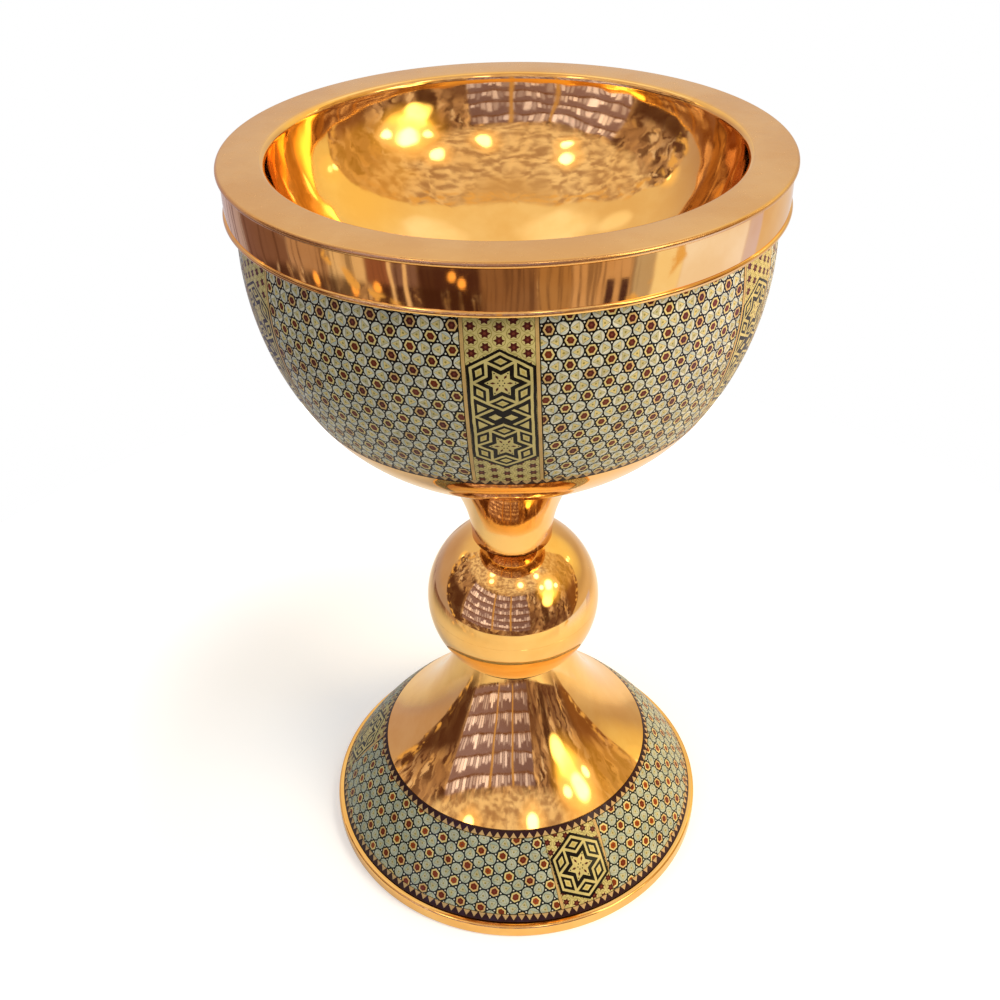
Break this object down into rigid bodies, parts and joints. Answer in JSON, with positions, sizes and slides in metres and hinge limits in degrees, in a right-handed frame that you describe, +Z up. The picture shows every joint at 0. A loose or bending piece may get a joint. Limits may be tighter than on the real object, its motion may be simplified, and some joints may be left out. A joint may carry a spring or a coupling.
{
  "type": "pedestal bowl",
  "caption": "Footed copper bowl: polished rounded well with a wide flat rim, khatam marquetry on bowl and foot, ball knop stem.",
  "frame": {"origin": "centre of the foot's underside, on the surface that the bowl stands on", "axes": "+Z up along the bowl's axis; -Y is the front, where a khatam strip is centred; +X to its right"},
  "size_m": [0.19, 0.19, 0.307],
  "materials": {
    "copper": "polished copper, satin on the flat rim",
    "khatam_field": "lacquered khatam mosaic, hexagonal flower lattice",
    "khatam_strip": "lacquered khatam mosaic, star medallions in black and yellow",
    "khatam_border": "lacquered khatam edging, tan teeth on dark brown",
    "steel": "zinc plated"
  },
  "bodies": {
    "root": {"inner_bowl": "copper", "rim_band": "copper", "outer_bowl": "copper", "neck": "copper", "knop_upper_half": "copper", "knop_lower_half": "copper", "foot_shell": "copper", "foot_rim": "copper", "bowl_khatam_field_1": "khatam_field", "bowl_khatam_field_2": "khatam_field", "bowl_khatam_field_3": "khatam_field", "bowl_khatam_field_4": "khatam_field", "bowl_khatam_field_5": "khatam_field", "bowl_khatam_field_6": "khatam_field", "foot_khatam_field_1": "khatam_field", "foot_khatam_field_2": "khatam_field", "foot_khatam_field_3": "khatam_field", "bowl_khatam_strip_1": "khatam_strip", "bowl_khatam_strip_2": "khatam_strip", "bowl_khatam_strip_3": "khatam_strip", "bowl_khatam_strip_4": "khatam_strip", "bowl_khatam_strip_5": "khatam_strip", "bowl_khatam_strip_6": "khatam_strip", "foot_khatam_medallion_1": "khatam_strip", "foot_khatam_medallion_2": "khatam_strip", "foot_khatam_medallion_3": "khatam_strip", "bowl_khatam_border": "khatam_border", "foot_khatam_upper_border": "khatam_border", "foot_khatam_lower_border": "khatam_border", "tie_rod": "steel", "bowl_washer": "steel", "bowl_nut": "steel", "foot_clamp_disc": "steel", "foot_nut": "steel"}
  },
  "joints": []
}
